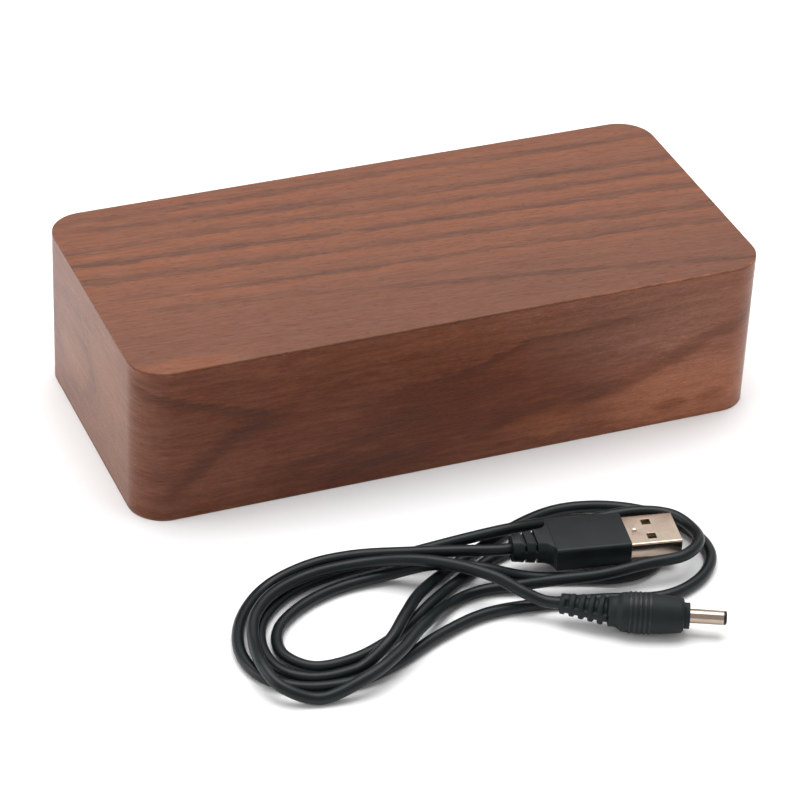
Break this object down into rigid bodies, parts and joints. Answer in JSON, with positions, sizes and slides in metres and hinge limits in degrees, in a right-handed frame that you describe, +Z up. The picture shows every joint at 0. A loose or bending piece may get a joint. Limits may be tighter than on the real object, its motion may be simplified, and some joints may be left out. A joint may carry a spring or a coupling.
{
  "type": "wooden block alarm clock",
  "caption": "Walnut-veneered block alarm clock with a display behind its front veneer, rear push buttons, slide switch and cell cap, and a loose black power cord in front.",
  "frame": {"origin": "middle of the block's base, on the table", "axes": "+X along the block, +Y towards its rear panel, +Z up"},
  "size_m": [0.172, 0.1691, 0.0445],
  "materials": {
    "walnut_top": "satin walnut veneer, straight grain",
    "walnut_side": "satin walnut veneer, figured grain",
    "fibreboard": "raw fibreboard",
    "diffuser": "frosted film",
    "reflector": "matt grey",
    "led": "clear white",
    "circuit_board": "green solder mask",
    "chip": "matt black",
    "steel": "zinc plated",
    "black_abs": "matt black",
    "button": "satin black",
    "nickel": "bright nickel plate",
    "brass": "bright",
    "ribbon": "grey",
    "white_nylon": "white",
    "black_pvc": "satin black"
  },
  "bodies": {
    "clock": {"case_core": "fibreboard", "top_veneer": "walnut_top", "side_veneer": "walnut_side", "bottom_veneer": "walnut_top", "diffuser_film": "diffuser", "digit_reflector": "reflector", "display_leds": "led", "display_board": "circuit_board", "display_driver": "chip", "display_screws": "steel", "rear_panel": "black_abs", "panel_screws": "steel", "backup_cell": "nickel", "cell_contacts": "brass", "main_board": "circuit_board", "board_screws": "steel", "tact_switches": "chip", "slide_switch": "nickel", "dc_socket": "black_abs", "dc_socket_pin": "nickel", "clock_chip": "chip", "clock_crystal": "nickel", "capacitor": "chip", "buzzer": "black_abs", "microphone": "nickel", "temperature_sensor": "chip", "ribbon_cable": "ribbon", "ribbon_plugs": "white_nylon", "power_cord": "black_pvc", "usb_overmould": "black_pvc", "usb_shell": "nickel", "usb_tongue": "black_abs", "usb_contacts": "brass", "dc_overmould": "black_pvc", "dc_barrel": "nickel", "dc_insulator": "black_abs", "dc_contact": "brass"},
    "set_button": {"set_button": "button"},
    "up_button": {"up_button": "button"},
    "down_button": {"down_button": "button"},
    "sound_slider": {"sound_slider": "button"},
    "battery_cap": {"battery_cap": "black_abs"}
  },
  "joints": [
    {"name": "set_button_push", "type": "slide", "parent": "clock", "child": "set_button", "axis": [0, -1, 0], "range_m": [0, 0.0008], "stiffness_N_per_m": 1500},
    {"name": "up_button_push", "type": "slide", "parent": "clock", "child": "up_button", "axis": [0, -1, 0], "range_m": [0, 0.0008], "stiffness_N_per_m": 1500},
    {"name": "down_button_push", "type": "slide", "parent": "clock", "child": "down_button", "axis": [0, -1, 0], "range_m": [0, 0.0008], "stiffness_N_per_m": 1500},
    {"name": "sound_slide", "type": "slide", "parent": "clock", "child": "sound_slider", "axis": [1, 0, 0], "range_m": [0, 0.003]},
    {"name": "cap_turn", "type": "hinge", "parent": "clock", "child": "battery_cap", "pos_m": [0.04594, 0.039, 0.02225], "axis": [0, 1, 0], "range_deg": [0, 55]}
  ]
}
